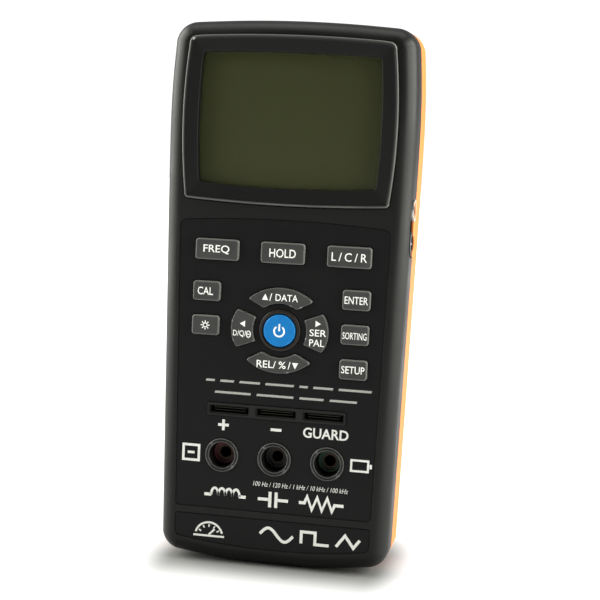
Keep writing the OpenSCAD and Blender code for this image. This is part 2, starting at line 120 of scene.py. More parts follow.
def ramp(nt, fac, low, high, a=0.35, b=0.65):
    """Map Range from [a, b] to [low, high]."""
    node = nt.nodes.new("ShaderNodeMapRange")
    node.inputs["From Min"].default_value = a
    node.inputs["From Max"].default_value = b
    node.inputs["To Min"].default_value = low
    node.inputs["To Max"].default_value = high
    nt.links.new(fac, node.inputs["Value"])
    return node.outputs["Result"]


def mix(nt, fac, one, two):
    """Mix of two colours or sockets."""
    node = nt.nodes.new("ShaderNodeMix")
    node.data_type = "RGBA"
    nt.links.new(fac, node.inputs["Factor"])
    for name, value in (("A", one), ("B", two)):
        socket = [s for s in node.inputs if s.name == name and s.type == "RGBA"][0]
        if isinstance(value, tuple):
            socket.default_value = (*value, 1.0)
        else:
            nt.links.new(value, socket)
    return [s for s in node.outputs if s.type == "RGBA"][0]


def surface(name, color, rough=0.5, grain=900.0, depth=0.02, spread=0.12, blotch=60.0,
            wear_and_highlight=0.0, worn_and_highlight=None, specular=0.3, metal=0.0, coat=0.0, stretch=None, rough_spread=0.06):
    """Moulded or printed finish: fine grain, slow colour drift, polished edges whose lighter colour is partly
    wear and partly a painted highlight.

    grain and blotch are features per metre, depth is the height of the grain in
    millimetres, spread the share by which the colour drifts.
    """
    mat, nt, bsdf = nodes_of(name)
    drift = noise(nt, blotch, 4.0)
    dark = tuple(c * (1 - spread) for c in color)
    light = tuple(min(1.0, c * (1 + spread)) for c in color)
    tone = mix(nt, ramp(nt, drift, 0.0, 1.0), dark, light)
    fine = noise(nt, grain, 3.0, stretch)
    tone = mix(nt, ramp(nt, fine, 0.0, 0.5), tone, tuple(min(1.0, c * 1.25) for c in color))
    level = ramp(nt, drift, rough - rough_spread, rough + rough_spread)
    if wear_and_highlight > 0:
        # edges found by pointiness take a lighter colour: partly worn plastic, partly a painted highlight
        # along rounded edges
        geo = nt.nodes.new("ShaderNodeNewGeometry")
        edge = ramp(nt, geo.outputs["Pointiness"], 0.0, wear_and_highlight, 0.51, 0.58)
        tone = mix(nt, edge, tone, worn_and_highlight or tuple(min(1.0, c * 1.8) for c in color))
        rub = nt.nodes.new("ShaderNodeMath")
        rub.operation = "MULTIPLY_ADD"
        nt.links.new(edge, rub.inputs[0])
        rub.inputs[1].default_value = -0.15
        nt.links.new(level, rub.inputs[2])
        level = rub.outputs[0]
    nt.links.new(tone, bsdf.inputs["Base Color"])
    nt.links.new(level, bsdf.inputs["Roughness"])
    bump = nt.nodes.new("ShaderNodeBump")
    bump.inputs["Strength"].default_value = 1.0
    bump.inputs["Distance"].default_value = depth * MM
    nt.links.new(fine, bump.inputs["Height"])
    nt.links.new(bump.outputs["Normal"], bsdf.inputs["Normal"])
    bsdf.inputs["Metallic"].default_value = metal
    bsdf.inputs["Specular IOR Level"].default_value = specular
    bsdf.inputs["Coat Weight"].default_value = coat
    bsdf.inputs["Coat Roughness"].default_value = 0.2
    return mat


M = {
    "case": surface("case_plastic", (0.0042, 0.0044, 0.0039), 0.42, 1500, 0.028, 0.10, 45, specular=0.19),
    "rear": surface("rear_plastic", (0.60, 0.165, 0.030), 0.52, 1500, 0.02, 0.05, 45, wear_and_highlight=0.35,
                    worn_and_highlight=(0.74, 0.26, 0.06), specular=0.18),
    # the frame's edge colour is a painted highlight along its outer edge and window lip
    "frame": surface("display_frame_plastic", (0.0075, 0.0075, 0.0075), 0.27, 1800, 0.006, 0.04, 60, wear_and_highlight=1.0,
                     worn_and_highlight=(0.42, 0.42, 0.40), specular=0.19, rough_spread=0.01),
    "frame_flat": surface("display_frame_flat", (0.0070, 0.0070, 0.0070), 0.30, 1800, 0.006, 0.04, 60,
                          specular=0.16, rough_spread=0.01),
    "film": surface("panel_film", (0.0040, 0.0040, 0.0042), 0.46, 2600, 0.010, 0.10, 70, wear_and_highlight=0.3,
                    specular=0.12),
    # the keys' light edge colour is mostly a painted highlight along their rounded edges, with some wear
    "key": surface("key_plastic", (0.0265, 0.0275, 0.0258), 0.46, 2200, 0.036, 0.14, 160, wear_and_highlight=0.9,
                   worn_and_highlight=(0.36, 0.37, 0.34), specular=0.25),
    "key_top": surface("key_top_plastic", (0.034, 0.0355, 0.0335), 0.46, 2200, 0.040, 0.16, 160,
                       specular=0.25),
    "power_top": surface("power_key_top", (0.002, 0.145, 0.410), 0.42, 2000, 0.018, 0.08, 200, specular=0.2),
    "power": surface("power_key_plastic", (0.002, 0.135, 0.385), 0.42, 2000, 0.018, 0.08, 200, wear_and_highlight=0.5,
                     worn_and_highlight=(0.05, 0.34, 0.74), specular=0.2),
    "ring": surface("ring_plastic", (0.0060, 0.0055, 0.0052), 0.36, 2200, 0.012, 0.15, 200, wear_and_highlight=0.6,
                    worn_and_highlight=(0.07, 0.056, 0.042), specular=0.22),
    "ink": surface("legend_ink", (0.60, 0.60, 0.57), 0.55, 6000, 0.004, 0.05, 500),
    "notice": surface("notice_ink", (0.30, 0.30, 0.28), 0.55, 6000, 0.004, 0.05, 500),
    # the collars' light edge colour draws painted highlight rings round the jacks
    "collar": surface("jack_collar_plastic", (0.0075, 0.0078, 0.0075), 0.30, 1800, 0.008, 0.10, 60, wear_and_highlight=0.9,
                      worn_and_highlight=(0.11, 0.11, 0.105), specular=0.25),
    "slot": surface("slot_plastic", (0.0075, 0.0075, 0.0072), 0.42, 1800, 0.010, 0.10, 60, wear_and_highlight=0.3,
                    worn_and_highlight=(0.02, 0.02, 0.019), specular=0.16),
    "ink_key": surface("key_ink", (0.80, 0.80, 0.77), 0.5, 6000, 0.004, 0.04, 500),
    "lcd": surface("display_glass", (0.0385, 0.0420, 0.0120), 0.45, 4000, 0.001, 0.03, 25, specular=0.2,
                   rough_spread=0.01),
    "red": surface("insulator_red", (0.060, 0.003, 0.005), 0.42, 2400, 0.010, 0.10, 300),
    "black": surface("insulator_black", (0.0045, 0.0035, 0.0045), 0.42, 2400, 0.010, 0.10, 300),
    "green": surface("insulator_green", (0.003, 0.030, 0.013), 0.42, 2400, 0.010, 0.10, 300),
    # the sleeves' near-black metal colour is painted shade deep in the jack wells
    "shaded_sleeve": surface("sleeve_metal", (0.035, 0.024, 0.018), 0.45, 3000, 0.006, 0.10, 400, metal=1.0,
                     stretch=(1.0, 0.1, 1.0)),
    # the contacts' near-black metal colour is painted shade inside the test slots
    "shaded_contact": surface("contact_metal", (0.035, 0.032, 0.026), 0.45, 3000, 0.006, 0.10, 400, metal=1.0),
    "nut": surface("nut_metal", (0.60, 0.58, 0.53), 0.34, 2500, 0.010, 0.08, 400, metal=0.9,
                   stretch=(0.2, 1.0, 1.0)),
    "steel": surface("steel", (0.58, 0.58, 0.57), 0.30, 2500, 0.008, 0.10, 400, metal=1.0),
    "stand": surface("stand_plastic", (0.028, 0.029, 0.029), 0.44, 1500, 0.020, 0.10, 50, wear_and_highlight=0.5),
    "socket": surface("socket_plastic", (0.030, 0.030, 0.032), 0.40, 2400, 0.010, 0.10, 300),
    "board": surface("circuit_board", (0.010, 0.10, 0.045), 0.35, 700, 0.008, 0.15, 120, coat=0.4),
    "chip": surface("chip_epoxy", (0.018, 0.018, 0.020), 0.55, 3000, 0.012, 0.12, 300),
    "rubber": surface("membrane_rubber", (0.24, 0.25, 0.24), 0.62, 1500, 0.012, 0.08, 150),
    "white": surface("holder_plastic", (0.70, 0.71, 0.68), 0.45, 1500, 0.010, 0.05, 150),
    "pink": surface("contact_strip_rubber", (0.60, 0.26, 0.31), 0.6, 3000, 0.010, 0.15, 400,
                    stretch=(6.0, 1.0, 1.0)),
    "cap": surface("capacitor_sleeve", (0.02, 0.028, 0.12), 0.35, 1500, 0.005, 0.1, 300, coat=0.3),
    "relay": surface("relay_housing", (0.62, 0.60, 0.53), 0.4, 1500, 0.006, 0.06, 200),
    "parts": surface("chip_part_ceramic", (0.34, 0.25, 0.16), 0.45, 4000, 0.006, 0.3, 900),
    "battery": surface("battery_jacket", (0.030, 0.034, 0.055), 0.32, 600, 0.006, 0.2, 60, coat=0.5),
    "lead_red": surface("lead_red", (0.48, 0.02, 0.015), 0.4, 2000, 0.006, 0.1, 300),
    "lead_black": surface("lead_black", (0.02, 0.02, 0.022), 0.4, 2000, 0.006, 0.1, 300),
}


def clear_lens():
    """Clear acrylic: see-through with a faint grey tint and a little gloss."""
    mat, nt, bsdf = nodes_of("display_lens_acrylic")
    bsdf.inputs["Base Color"].default_value = (0.01, 0.012, 0.01, 1)
    bsdf.inputs["Alpha"].default_value = 0.10
    haze = ramp(nt, noise(nt, 18, 2.0), 0.16, 0.20)
    nt.links.new(haze, bsdf.inputs["Roughness"])
    bsdf.inputs["Specular IOR Level"].default_value = 0.35
    return mat


M["lens"] = clear_lens()


# ---------------------------------------------------------------- mesh tools
def to_object(name, verts, faces, mat, smooth=35.0):
    """Mesh object from millimetre vertices, normals outwards, sharp above smooth degrees."""
    me = bpy.data.meshes.new(name)
    me.from_pydata([(x * MM, y * MM, z * MM) for x, y, z in verts], [], faces)
    bm = bmesh.new()
    bm.from_mesh(me)
    bmesh.ops.remove_doubles(bm, verts=bm.verts, dist=1e-7)
    bmesh.ops.recalc_face_normals(bm, faces=bm.faces)
    bm.to_mesh(me)
    bm.free()
    ob = bpy.data.objects.new(name, me)
    scene.collection.objects.link(ob)
    if mat is not None:
        me.materials.append(mat)
    if smooth:
        shade(ob, smooth)
    return ob


def shade(ob, angle):
    ob.data.shade_smooth()
    ob.data.set_sharp_from_angle(angle=math.radians(angle))


def weighted(ob):
    """Keeps large flat faces flat next to their small rounded edges."""
    mod = ob.modifiers.new("weighted", "WEIGHTED_NORMAL")
    mod.mode = "FACE_AREA"
    mod.weight = 100
    mod.keep_sharp = True
    return ob


def tube(rings, closed=False):
    """Faces joining rings of equal length; ends capped, or joined up if closed."""
    n, m = len(rings[0]), len(rings)
    verts = [p for r in rings for p in r]
    faces = []
    for k in range(m if closed else m - 1):
        a, b = k * n, ((k + 1) % m) * n
        faces += [(a + i, a + (i + 1) % n, b + (i + 1) % n, b + i) for i in range(n)]
    if not closed:
        faces += [tuple(range(n)), tuple(range((m - 1) * n, m * n))]
    return verts, faces


def boolean(ob, other, operation="DIFFERENCE"):
    mod = ob.modifiers.new("cut", "BOOLEAN")
    mod.solver = "EXACT"
    mod.operation = operation
    mod.object = other
    graph = bpy.context.evaluated_depsgraph_get()
    graph.update()
    me = bpy.data.meshes.new_from_object(ob.evaluated_get(graph))
    ob.modifiers.clear()
    old, ob.data = ob.data, me
    bpy.data.meshes.remove(old)
    bpy.data.objects.remove(other)
    return ob


def joined(parts):
    """One mesh object from separate (verts, faces) solids that don't touch."""
    verts, faces = [], []
    for v, f in parts:
        base = len(verts)
        verts += v
        faces += [tuple(i + base for i in face) for face in f]
    return to_object("cutter", verts, faces, None, 0)


def finish(ob, name, body, replaces=(), angle=35.0):
    """Cleans, shades and attaches a piece to its body."""
    bm = bmesh.new()
    bm.from_mesh(ob.data)
    bmesh.ops.remove_doubles(bm, verts=bm.verts, dist=2e-6)
    bmesh.ops.dissolve_degenerate(bm, dist=2e-6, edges=bm.edges)
    bm.to_mesh(ob.data)
    bm.free()
    shade(ob, angle)
    weighted(ob)
    return attach(ob, name, body, replaces)


def attach(ob, name, body, replaces=()):
    ob.name = ob.data.name = name
    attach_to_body(ob, body)
    if replaces:
        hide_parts(*replaces)
    return ob


# ---------------------------------------------------------------- outlines
def mirrored(half):
    return half + [(-x, z) for x, z in reversed(half[1:-1])]


def spline(points, n):
    """Closed Catmull-Rom curve through the points, n steps for each span."""
    out, count = [], len(points)
    for i in range(count):
        p0, p1, p2, p3 = (points[(i + k) % count] for k in (-1, 0, 1, 2))
        for s in range(n):
            t = s / n
            out.append(tuple(
                0.5 * (2 * b + (c - a) * t + (2 * a - 5 * b + 4 * c - d) * t * t
                       + (3 * b - a - 3 * c + d) * t ** 3)
                for a, b, c, d in zip(p0, p1, p2, p3)))
    return out


def case_x(z):
    if z > 157:
        return 44 - (z - 157) ** 2 / 608
    return 44 - 0.0187 * (math.hypot(157 - z, 15) - 15)


def case_top(x):
    return 193 - x * x / 908


def case_bot(x):
    return 0.0 if abs(x) < 14 else x * x / 436 - 0.45


def ring(d, n=3):
    """Outline of the case, d inside its skin."""
    rt, rb = max(8 - d, 2), max(7.5 - d, 2)
    kt, kb = 8 - d - rt, 7.5 - d - rb
    xt, zt = case_x(183.7) - 8 + kt, case_top(34.8) - 8 + kt
    xb, zb = case_x(8) - 7.5 + kb, case_bot(34) + 7.5 - kb
    half = [(f * xb, case_bot(f * xb) + d) for f in (0, 0.2, 0.41, 0.56, 0.7, 0.84)]
    half += [(xb + rb * math.cos(a), zb + rb * math.sin(a))
             for a in (math.radians(-80 + 11.6 * i) for i in range(8))]
    for f in (0.08, 0.2, 0.32, 0.43, 0.54, 0.63, 0.71, 0.78, 0.84, 0.9, 0.95):
        z = zb + f * (zt - zb)
        half.append((case_x(z) - d, z))
    half += [(xt + rt * math.cos(a), zt + rt * math.sin(a))
             for a in (math.radians(5 + 11.5 * i) for i in range(8))]
    half += [(f * xt, case_top(f * xt) - d) for f in (0.85, 0.62, 0.4, 0.2, 0)]
    return spline(mirrored(half), n)


# plates with bowed edges: half width, height where it is widest, radius and lean of the
# sides, height and radius of the top edge, of the lower edge, upper and lower corner radius
BEZEL = (37.85, 158, 210, 0, 187.8, 518, 129.1, 540, 2.6, 1.4)
WINDOW = (32.3, 158, 255, 0, 181.8, 680, 134.9, 437, 1.6, 1.6)
LABEL = (36.25, 70, 90000, 0.0205, 124.1, 432, 20.3, 90000, 2.6, 0.8)
NAME = (35.2, 12, 90000, 0, 17.3, 90000, 6.6, 227, 0.8, 1.8)


def plate(shape, d=0.0):
    """Outline of a plate with slightly bowed edges, d inside."""
    wide, mid, side_r, lean, high, high_r, low, low_r, corner_t, corner_b = shape
    side = lambda z: wide - (z - mid) ** 2 / (2 * side_r) + lean * (z - mid)
    top = lambda x: high - x * x / (2 * high_r)
    bot = lambda x: low + x * x / (2 * low_r)
    rt, rb = max(corner_t - d, 0.3), max(corner_b - d, 0.3)
    zt, zb = top(wide - 2) - d - rt, bot(wide - 2) + d + rb
    xt, xb = side(zt) - d - rt, side(zb) - d - rb
    half = [(f / 12 * xb, bot(f / 12 * xb) + d) for f in range(12)]
    half += [(xb + rb * math.cos(a), zb + rb * math.sin(a))
             for a in (math.radians(-86 + 86 / 8 * i) for i in range(9))]
    for i in range(1, 18):
        z = zb + i / 18 * (zt - zb)
        half.append((side(z) - d, z))
    half += [(xt + rt * math.cos(a), zt + rt * math.sin(a))
             for a in (math.radians(86 / 8 * i) for i in range(9))]
    half += [(f / 12 * xt, top(f / 12 * xt) - d) for f in range(11, -1, -1)]
    return mirrored(half)


def inside(outline, x, z):
    """Whether the point lies inside the closed outline."""
    hit = False
    for (ax, az), (bx, bz) in zip(outline, outline[1:] + outline[:1]):
        if (az > z) != (bz > z) and x < (bx - ax) * (z - az) / (bz - az) + ax:
            hit = not hit
    return hit


def rrect(cx, cz, w, h, r, d=0.0, steps=6):
    """Rounded rectangle, d inside."""
    w, h, r = w / 2 - d, h / 2 - d, max(r - d, 0.05)
    out = []
    for sx, sz, start in ((1, 1, 0), (-1, 1, 90), (-1, -1, 180), (1, -1, 270)):
        for i in range(steps + 1):
            a = math.radians(start + 90 * i / steps)
            out.append((cx + sx * (w - r) + r * math.cos(a), cz + sz * (h - r) + r * math.sin(a)))
    return out


def circle(cx, cz, r, n=48):
    turns = [2 * math.pi * i / n for i in range(n)]
    return [(cx + r * math.cos(a), cz + r * math.sin(a)) for a in turns]


def offset(points, d):
    """Closed outline moved d inwards along its normals."""
    out, n = [], len(points)
    for i in range(n):
        (ax, az), (bx, bz), (cx, cz) = points[i - 1], points[i], points[(i + 1) % n]
        tx, tz = cx - ax, cz - az
        length = math.hypot(tx, tz) or 1.0
        out.append((bx - tz / length * d, bz + tx / length * d))
    return out


def resample(points, count):
    """The closed outline at count equal steps."""
    n = len(points)
    lengths = [math.dist(points[i], points[(i + 1) % n]) for i in range(n)]
    total, out, i, run = sum(lengths), [], 0, 0.0
    for k in range(count):
        goal = total * k / count
        while run + lengths[i] < goal:
            run += lengths[i]
            i += 1
        t = (goal - run) / (lengths[i] or 1.0)
        a, b = points[i], points[(i + 1) % n]
        out.append((a[0] + (b[0] - a[0]) * t, a[1] + (b[1] - a[1]) * t))
    return out


def softened(points, count, rounds):
    """Equal steps round the outline, with its corners rounded by averaging."""
    pts = resample(points, count)
    for _ in range(rounds):
        pts = [((pts[i - 1][0] + 2 * pts[i][0] + pts[(i + 1) % count][0]) / 4,
                (pts[i - 1][1] + 2 * pts[i][1] + pts[(i + 1) % count][1]) / 4) for i in range(count)]
    return pts


# turn, outer radius, outer reach, foot of the side lines, their slope
ARCS = {"up": (0, 17.5, 15.1, 4.5, 0.536), "down": (180, 17.5, 15.1, 4.5, 0.536),
        "left": (90, 11.6, 17.4, -2.8, 2.667), "right": (-90, 11.6, 17.4, -2.8, 2.667)}


def arc_outline(key, count=150):
    """Outline of one curved key, seen from a point inside it."""
    turn, radius, reach, foot, slope = key
    eye = 12.4
    out = []
    for i in range(720):
        a = 2 * math.pi * i / 720
        ux, uz = math.cos(a), math.sin(a)
        best = 60.0
        # inside the outer circle
        oz = eye - (reach - radius)
        b = oz * uz
        best = min(best, -b + math.sqrt(b * b - oz * oz + radius * radius))
        # above the two side lines
        for sign in (1, -1):
            rate = uz - slope * sign * ux
            if rate < 0:
                best = min(best, (foot - eye) / rate)
        # blunt ends
        if abs(ux) > 1e-6:
            best = min(best, 11.5 / abs(ux))
        # outside the inner circle
        b = eye * uz
        disc = b * b - eye * eye + 9.6 * 9.6
        if b < 0 < disc:
            best = min(best, -b - math.sqrt(disc))
        out.append((best * ux, eye + best * uz))
    t = math.radians(turn)
    pts = softened(out, count, 7)
    return [(x * math.cos(t) - z * math.sin(t), KEYS_Z + x * math.sin(t) + z * math.cos(t)) for x, z in pts]


RECTS = {"freq": (-23.5, 112.7, 15.6, 7.4), "hold": (0, 112.7, 15.6, 7.4), "lcr": (23.5, 112.7, 15.6, 7.4),
         "cal": (-26.7, 97.9, 9.85, 7), "backlight": (-26.7, 85.8, 9.85, 7),
         "enter": (26.7, 97.9, 9.85, 7), "sorting": (26.7, 85.8, 9.85, 7), "setup": (26.7, 73.6, 9.85, 7)}
OUTLINES = {name: rrect(*r, 1.1) for name, r in RECTS.items()}
OUTLINES.update({name: arc_outline(k) for name, k in ARCS.items()})
OUTLINES["power"] = circle(0, KEYS_Z, 5.7, 72)


def at(points, y):
    return [(x, y, z) for x, z in points]


def flare(outline, top, floor, r):
    """Cutter whose mouth rounds the edge it cuts with radius r; outline(d) is d inside."""
    rings = [at(outline(-0.87 * r - 0.19), top - 1.5), at(outline(-0.87 * r - 0.19), top - 0.05)]
    for a in (15, 32, 52, 71, 90):
        a = math.radians(a)
        rings.append(at(outline(-r + r * math.sin(a)), top + r * (1 - math.cos(a))))
    rings.append(at(outline(0), floor))
    return tube(rings)


def flare_back(outline, top, floor, r):
    """The same for an edge on the back."""
    v, f = flare(outline, -top, -floor, r)
    return [(x, -y, z) for x, y, z in v], f


def rod_x(y, z, r, x0, x1, n=48):
    return tube([[(x, u, v) for u, v in circle(y, z, r, n)] for x in (x0, x1)])


def rod_y(x, z, r, y0, y1, n=48):
    return tube([at(circle(x, z, r, n), y0), at(circle(x, z, r, n), y1)])


def block(x0, x1, y0, y1, z0, z1):
    return tube([[(x, y, z0) for x, y in ((x0, y0), (x1, y0), (x1, y1), (x0, y1))],
                 [(x, y, z1) for x, y in ((x0, y0), (x1, y0), (x1, y1), (x0, y1))]])


def lathe(profile, centre, n=72):
    """Solid of revolution from a closed loop of (radius, y) pairs round an axis along Y."""
    return tube([at(circle(*centre, r, n), y) for r, y in profile], True)


# ---------------------------------------------------------------- shells
def quarter(steps):
    """Angles from 0 to 90 degrees."""
    return [math.radians(90 * i / steps) for i in range(steps + 1)]


def front_levels():
    """Depth and inset of the rings of the front shell, face to parting line."""
    deep, wide = 7.5, 6
    levels = [(FACE + deep * (1 - math.cos(a)), wide * (1 - math.sin(a))) for a in quarter(12)]
    return levels + [(PART - 0.25, 0.0), (PART, 0.18)]


def rear_levels():
    """The same from the parting line to the back."""
    deep, wide = 14, 11
    levels = [(BACK - deep + deep * math.sin(a), wide * (1 - math.cos(a))) for a in quarter(12)]
    return [(PART, 0.18), (PART + 0.25, 0.0)] + levels


def port_bay():
    """Notch for the two side sockets, with a rounded lower front corner."""
    top, low, small, large = 133.3, 112.9, 1.2, 4.1
    corner = [(PORT_Y - 6.4 + small * (1 - math.cos(a)), top - small * (1 - math.sin(a))) for a in quarter(3)]
    bend = [(PORT_Y - 2.3 - large * math.cos(a), low + large * (1 - math.sin(a))) for a in quarter(6)]
    outline = [(PORT_Y + 5, top)] + corner[::-1] + bend + [(PORT_Y + 5, low)]
    return tube([[(x, y, z) for y, z in outline] for x in (42, 50)])


def build_front():
    front = to_object("front_shell", *tube([at(ring(d), y) for y, d in front_levels()]), M["case"], 0)
    inner = [(FACE + WALL + 5.5 * (1 - math.cos(t)), WALL + 4.5 * (1 - math.sin(t)))
             for t in quarter(4)] + [(PART + 1, WALL)]
    boolean(front, to_object("cutter", *tube([at(ring(d, 1), y) for y, d in inner]), None, 0))
    boolean(front, joined([
        flare(lambda d: plate(LABEL, d - 0.25), FACE, FILM_FLOOR, 0.16),
        flare(lambda d: plate(NAME, d - 0.25), FACE, FILM_FLOOR, 0.16),
        flare(lambda d: plate(BEZEL, d - 0.2), FACE, FACE + 1.2, 0.3)]))
    window = plate(WINDOW, -2.5)
    holes = [tube([at(window, FACE + 0.3), at(window, INSIDE)])]
    for pts in OUTLINES.values():
        hole = offset(pts, -KEY_GAP)
        holes.append(tube([at(hole, FACE - 0.1), at(hole, INSIDE)]))
    holes += [rod_y(x, JACK_Z, 5.4, -22, INSIDE) for x in JACKS]
    slots = rrect(0, SLOT_Z, 50.3, 5.1, 0.8)
    holes.append(tube([at(slots, -22), at(slots, INSIDE)]))
    boolean(front, joined(holes))
    boolean(front, joined([port_bay()]))
    boolean(front, joined([rod_x(PORT_Y, SERIAL_Z, 3.1, 36, 42.5), rod_x(PORT_Y, ADAPTER_Z, 3.95, 36, 42.5)]))
    return finish(front, "front_shell", "case", ("front_case",))


def build_rear():
    cavity = [(PART - 1, WALL)] + [(BACK - 14.4 + 12 * math.sin(a), 2.4 + 9.5 * (1 - math.cos(a)))
                                   for a in quarter(6)]
    inner = to_object("cavity", *tube([at(ring(d, 1), y) for y, d in cavity]), None, 0)
    # walls left standing in the cavity: battery bay, latch, stand pocket, door seat
    for walls in ([block(-27.2, 27.2, -1.2, 22, 53, 85), block(-8, 8, 15.8, 22, 86, 97),
                   block(-30.5, 30.5, 14.4, 22, 98, 177)], [block(-29.5, 29.5, 15.8, 22, 48.8, 88.4)]):
        boolean(inner, joined(walls))
    rear = to_object("rear_shell", *tube([at(ring(d), y) for y, d in rear_levels()]), M["rear"], 0)
    boolean(rear, inner)
    pocket = lambda d: rrect(0, 138.85, 50.8, 70.7, 1.2, d)
    door = lambda d: rrect(0, 69.15, 54.0, 36.3, 1.0, d)
    tongue = lambda d: rrect(0, 88.7, 10.8, 9.4, 1.0, d)
    boolean(rear, joined([flare_back(pocket, BACK, 17.0, 0.35), flare_back(door, BACK, 18.0, 0.25)]
                         + [rod_y(x, z, 3.1, 5, 22) for x, z in SCREWS]))
    boolean(rear, joined([flare_back(tongue, BACK, 18.0, 0.25), block(-25.6, 25.6, 0.4, 19, 54.6, 83.4),
                          flare_back(lambda d: rrect(0, 102.5, 18, 9, 3, d), BACK, 17.6, 0.35)]))
    boolean(rear, joined([rod_y(0, 89.8, 1.4, 12.5, 19)]
                         + [rod_x(19.4, 52.4, 0.75, s * 27.8 - 0.9, s * 27.8 + 0.9) for s in (-1, 1)]
                         + [rod_x(18.9, 172, 1.3, s * 26.3 - 1.2, s * 26.3 + 1.2) for s in (-1, 1)]))
    # the rear shell reaches forward over the side sockets, with a hole for each plug
    plugs = [rod_x(PORT_Y, SERIAL_Z, 1.95, 40, 50), rod_x(PORT_Y, ADAPTER_Z, 2.85, 40, 50)]
    edge = rrect(-6.6, 123.15, 4.0, 19.8, 0.5)
    lip = to_object("lip", *tube([[(x, y, z) for y, z in edge] for x in (43.1, 43.62, 43.7)]), None, 0)
    boolean(rear, lip, "UNION")
    boolean(rear, joined(plugs))
    return finish(rear, "rear_shell", "case", ("rear_case",))


# ---------------------------------------------------------------- display
def build_bezel():
    # inset and depth: rounded outer edge and the start of the flat
    edge = 0.55
    rim = [(0.0, -18.15), (0.0, -19.75)]
    rim += [(edge - edge * math.cos(a), -19.75 - edge * math.sin(a)) for a in quarter(6)[1:]]
    rim += [(0.72, -20.3), (0.86, -20.27), (1.0, -20.2), (1.25, -20.12), (1.6, -20.08)]
    rings = [at(plate(BEZEL, d), y) for d, y in rim]
    # the small lip at the window and the seat of the lens
    lip = [(-0.3, -19.86), (-0.12, -19.82), (-0.03, -19.72), (0.0, -19.6), (0.05, -17.15), (-2.3, -17.1),
           (-2.3, -18.1)]
    rings += [at(plate(WINDOW, d), y) for d, y in lip]
    bezel = to_object("display_frame", *tube(rings, True), M["frame"])
    bezel.data.materials.append(M["frame_flat"])
    for poly in bezel.data.polygons:
        x, y, z = (v / MM for v in poly.center)
        poly.material_index = int(inside(plate(BEZEL, 1.2), x, z))
    return finish(bezel, "display_frame", "case", ("display_bezel",), 50)


def build_lens():
    rings = [at(plate(WINDOW, 0.35), -18.1), at(plate(WINDOW, 0.15), -17.9), at(plate(WINDOW, 0.12), -17.1),
             at(plate(WINDOW, -1.8), -17.1), at(plate(WINDOW, -1.8), -16.7)]
    lens = to_object("display_window", *tube(rings), M["lens"])
    return finish(lens, "display_window", "case", ("display_lens",))


# ---------------------------------------------------------------- panel films
def build_film():
    rings = [at(plate(LABEL, 0.02), -18.87), at(plate(LABEL, 0.0), -19.12), at(plate(LABEL, 0.08), FILM_Y)]
    film = to_object("panel_film", *tube(rings), M["film"], 0)
    cuts = [tube([at(offset(pts, -FILM_GAP), -20), at(offset(pts, -FILM_GAP), -18)])
            for name, pts in OUTLINES.items() if name != "power"]
    cuts.append(rod_y(0, KEYS_Z, 7.6, -20, -18, 72))
    cuts += [rod_y(x, JACK_Z, 6.25, -20, -18, 72) for x in JACKS]
    slot = rrect(0, SLOT_Z, 50.2, 5.0, 0.8)
    cuts.append(tube([at(slot, -20), at(slot, -18)]))
    boolean(film, joined(cuts))
    return finish(film, "panel_film", "case", ("keypad_overlay",))


def build_name_film():
    rings = [at(plate(NAME, 0.02), -18.87), at(plate(NAME, 0.0), -19.12), at(plate(NAME, 0.08), FILM_Y)]
    film = to_object("name_film", *tube(rings), M["film"])
    return finish(film, "name_film", "case", ("name_plate",))


# ---------------------------------------------------------------- keys
def build_key(name, mat):
    outline = OUTLINES[name]
    round_ = 0.5 if name in RECTS or name == "power" else 0.34
    prof = [(0.0, -16.9), (0.02, KEY_TOP + round_)]
    prof += [(0.02 + round_ * (1 - math.cos(a)), KEY_TOP + round_ * (1 - math.sin(a)))
             for a in (math.radians(15 * i) for i in range(1, 6))]
    prof.append((round_ + 0.03, KEY_TOP))
    rings = [at(offset(outline, d), y) for d, y in prof]
    key = to_object("cap_" + name, *tube(rings), mat)
    key.data.materials.append(M["power_top"] if name == "power" else M["key_top"])
    for poly in key.data.polygons:
        if len(poly.vertices) > 4 and poly.center.y < -20 * MM:
            poly.material_index = 1
    return finish(key, "cap_" + name, f"key_{name}_cap", ("key_" + name,), 40)


def build_ring():
    prof = [(6.0, -18.9), (6.0, -19.62), (6.08, -19.82), (6.25, -19.95), (6.5, -20.0), (6.85, -20.0),
            (7.1, -19.93), (7.3, -19.78), (7.42, -19.55), (7.45, -19.3), (7.45, -18.9)]
    ob = to_object("ring", *lathe(prof, (0, KEYS_Z)), M["ring"])
    return finish(ob, "power_key_ring", "case", ("power_ring",), 50)


def build_collars():
    parts = []
    # radius and depth: outer ring, groove, inner ring, well and the wall behind it
    prof = [(6.05, -18.7), (6.05, -19.5), (6.0, -19.66), (5.88, -19.74), (5.72, -19.74), (5.6, -19.66),
            (5.54, -19.5), (5.4, -19.4), (5.22, -19.4),
            (5.1, -19.5), (5.03, -19.6), (4.92, -19.65), (4.78, -19.63), (4.66, -19.54), (4.6, -19.38),
            (4.5, -19.1), (4.4, -18.6), (4.4, -12.6), (5.0, -12.6), (5.4, -17.2), (5.4, -18.7)]
    for x in JACKS:
        parts.append(lathe(prof, (x, JACK_Z)))
    verts, faces = [], []
    for v, f in parts:
        base = len(verts)
        verts += v
        faces += [tuple(i + base for i in face) for face in f]
    ob = to_object("collars", verts, faces, M["collar"])
    ob.data.materials.append(M["case"])
    for poly in ob.data.polygons:
        poly.material_index = int(poly.center.y > -19.2 * MM)
    return finish(ob, "jack_collars", "case", (), 50)


